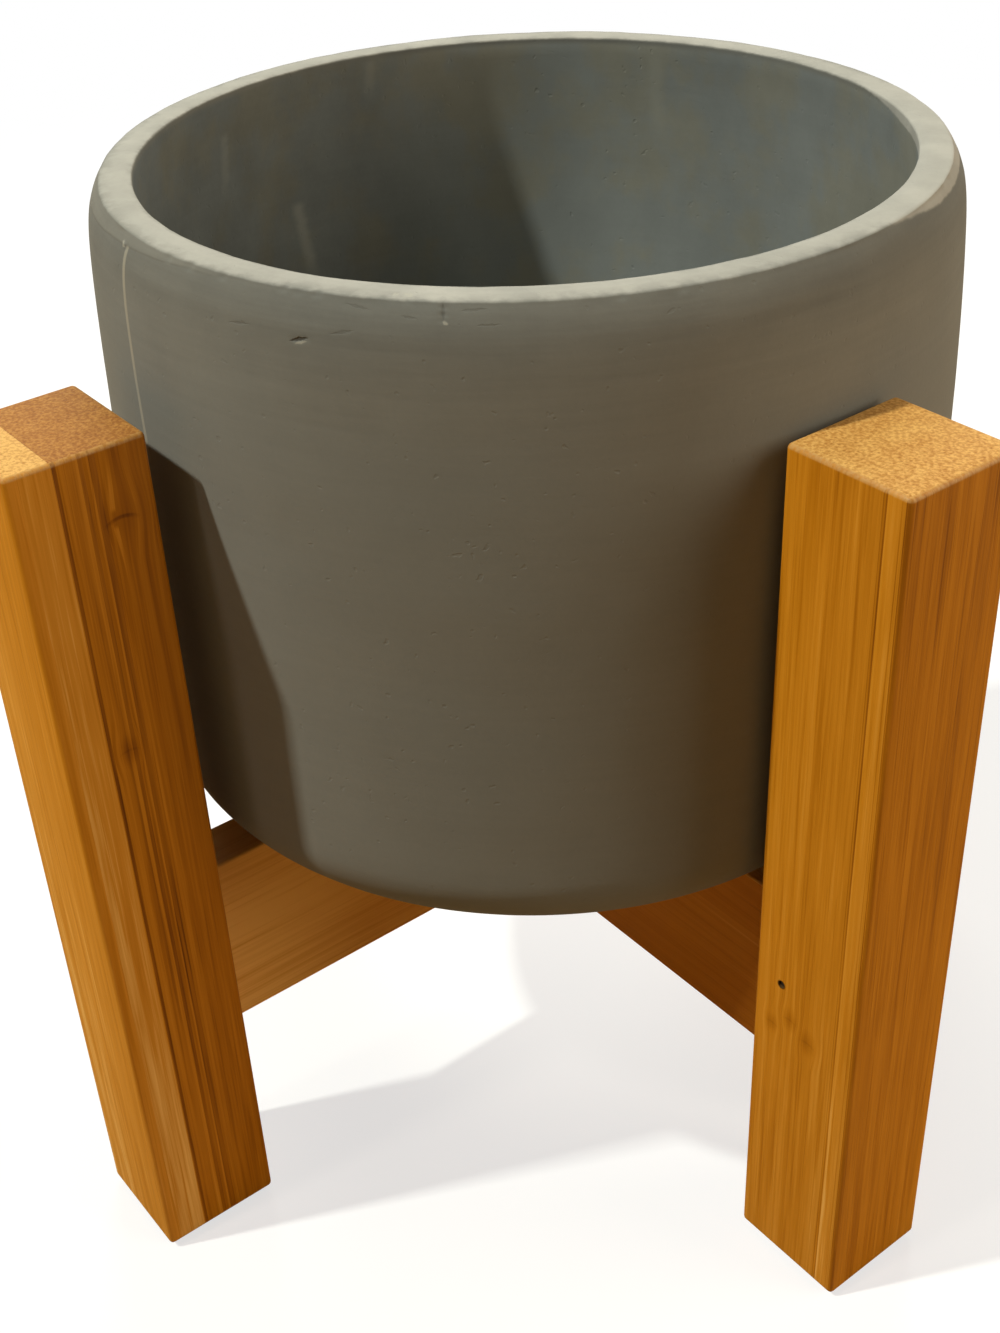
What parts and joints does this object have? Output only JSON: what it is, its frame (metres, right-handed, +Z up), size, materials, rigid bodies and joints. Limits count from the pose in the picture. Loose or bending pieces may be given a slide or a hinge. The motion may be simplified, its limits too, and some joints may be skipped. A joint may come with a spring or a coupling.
{
  "type": "planter with stand",
  "caption": "Round matte cement planter pot with a soft shoulder and flat rim, standing loose on the crossed bars of a square-legged laminated bamboo stand.",
  "frame": {"origin": "middle of the stand, on the floor under the foot pads", "axes": "+Z up; the pictured front, between two legs, faces -Y; the legs stand on the diagonals of X and Y"},
  "size_m": [0.2738, 0.2738, 0.3335],
  "materials": {
    "pot_cement": "matte",
    "leg_bamboo": "satin",
    "bar_bamboo": "satin",
    "dowel_wood": "raw",
    "brad_steel": "plain",
    "screw_zinc": "plated",
    "pad_felt": "felt",
    "plug_rubber": "matte"
  },
  "bodies": {
    "stand": {"crossbar_lower": "bar_bamboo", "crossbar_upper": "bar_bamboo", "lap_screw": "screw_zinc", "leg_front_left": "leg_bamboo", "dowel_front_left_upper": "dowel_wood", "dowel_front_left_lower": "dowel_wood", "brad_front_left": "brad_steel", "foot_pad_front_left": "pad_felt", "leg_front_right": "leg_bamboo", "dowel_front_right_upper": "dowel_wood", "dowel_front_right_lower": "dowel_wood", "brad_front_right": "brad_steel", "foot_pad_front_right": "pad_felt", "leg_rear_right": "leg_bamboo", "dowel_rear_right_upper": "dowel_wood", "dowel_rear_right_lower": "dowel_wood", "brad_rear_right": "brad_steel", "foot_pad_rear_right": "pad_felt", "leg_rear_left": "leg_bamboo", "dowel_rear_left_upper": "dowel_wood", "dowel_rear_left_lower": "dowel_wood", "brad_rear_left": "brad_steel", "foot_pad_rear_left": "pad_felt"},
    "pot": {"pot": "pot_cement"},
    "drain_plug": {"drain_plug": "plug_rubber"}
  },
  "joints": [
    {"name": "pot_lift", "type": "slide", "parent": "stand", "child": "pot", "axis": [0, 0, 1], "range_m": [0, 0.2]},
    {"name": "plug_pull", "type": "slide", "parent": "pot", "child": "drain_plug", "axis": [0, 0, 1], "range_m": [0, 0.06]}
  ]
}
